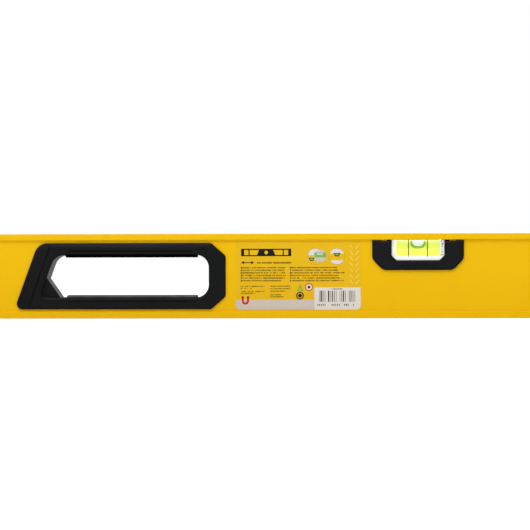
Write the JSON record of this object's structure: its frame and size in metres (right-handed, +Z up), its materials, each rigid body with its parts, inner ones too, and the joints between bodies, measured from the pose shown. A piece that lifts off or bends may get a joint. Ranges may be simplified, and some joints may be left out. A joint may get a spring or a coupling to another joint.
{
  "type": "spirit level",
  "caption": "Long aluminium box-beam level with a centre vial under the top edge, plumb vials near both ends, two hand holes with black grips, end caps and base magnets.",
  "frame": {"origin": "middle of the lower measuring face", "axes": "+X along the beam, +Y from the labelled front face to the back, +Z up to the face the centre vial is under"},
  "size_m": [0.9, 0.0238, 0.05],
  "materials": {
    "yellow_coat": "satin yellow powder coat",
    "cap_rubber": "matt moulded rubber",
    "label_film": "printed film, satin",
    "zinc_steel": "zinc plated",
    "magnet_ceramic": "ground ferrite",
    "black_shell": "fine moulded grain",
    "soft_grip": "soft overmould",
    "black_bezel": "fine moulded grain",
    "white_cradle": "glossy white",
    "clear_acrylic": "polished acrylic",
    "ring_black": "painted band",
    "vial_spirit": "tinted spirit",
    "vial_bubble": "clear"
  },
  "bodies": {
    "level": {"beam": "yellow_coat", "centre_bezel_back": "black_bezel", "centre_bezel_front": "black_bezel", "centre_fluid": "vial_spirit", "centre_gauge_rings": "ring_black", "centre_reflector": "white_cradle", "centre_vial_block": "clear_acrylic", "centre_vial_plug": "clear_acrylic", "end_cap_left": "cap_rubber", "end_cap_right": "cap_rubber", "handle_left_back_shell": "black_shell", "handle_left_front_shell": "black_shell", "handle_left_lower_pad": "soft_grip", "handle_left_upper_pad": "soft_grip", "handle_right_back_shell": "black_shell", "handle_right_front_shell": "black_shell", "handle_right_lower_pad": "soft_grip", "handle_right_upper_pad": "soft_grip", "info_label": "label_film", "magnet_cups": "zinc_steel", "magnets": "magnet_ceramic", "plumb_left_bezel_back": "black_bezel", "plumb_left_bezel_front": "black_bezel", "plumb_left_fluid": "vial_spirit", "plumb_left_gauge_rings": "ring_black", "plumb_left_reflector": "white_cradle", "plumb_left_vial_block": "clear_acrylic", "plumb_left_vial_plug": "clear_acrylic", "plumb_right_bezel_back": "black_bezel", "plumb_right_bezel_front": "black_bezel", "plumb_right_fluid": "vial_spirit", "plumb_right_gauge_rings": "ring_black", "plumb_right_reflector": "white_cradle", "plumb_right_vial_block": "clear_acrylic", "plumb_right_vial_plug": "clear_acrylic"},
    "centre_bubble": {"centre_bubble": "vial_bubble"},
    "left_bubble": {"plumb_left_bubble": "vial_bubble"},
    "right_bubble": {"plumb_right_bubble": "vial_bubble"}
  },
  "joints": [
    {"name": "centre_bubble_slide", "type": "slide", "parent": "level", "child": "centre_bubble", "axis": [1, 0, 0], "range_m": [-0.008, 0.008], "stiffness_N_per_m": 5},
    {"name": "left_bubble_slide", "type": "slide", "parent": "level", "child": "left_bubble", "axis": [0, 0, 1], "range_m": [-0.0174, 0], "stiffness_N_per_m": 40},
    {"name": "right_bubble_slide", "type": "slide", "parent": "level", "child": "right_bubble", "axis": [0, 0, 1], "range_m": [-0.0174, 0], "stiffness_N_per_m": 40}
  ]
}
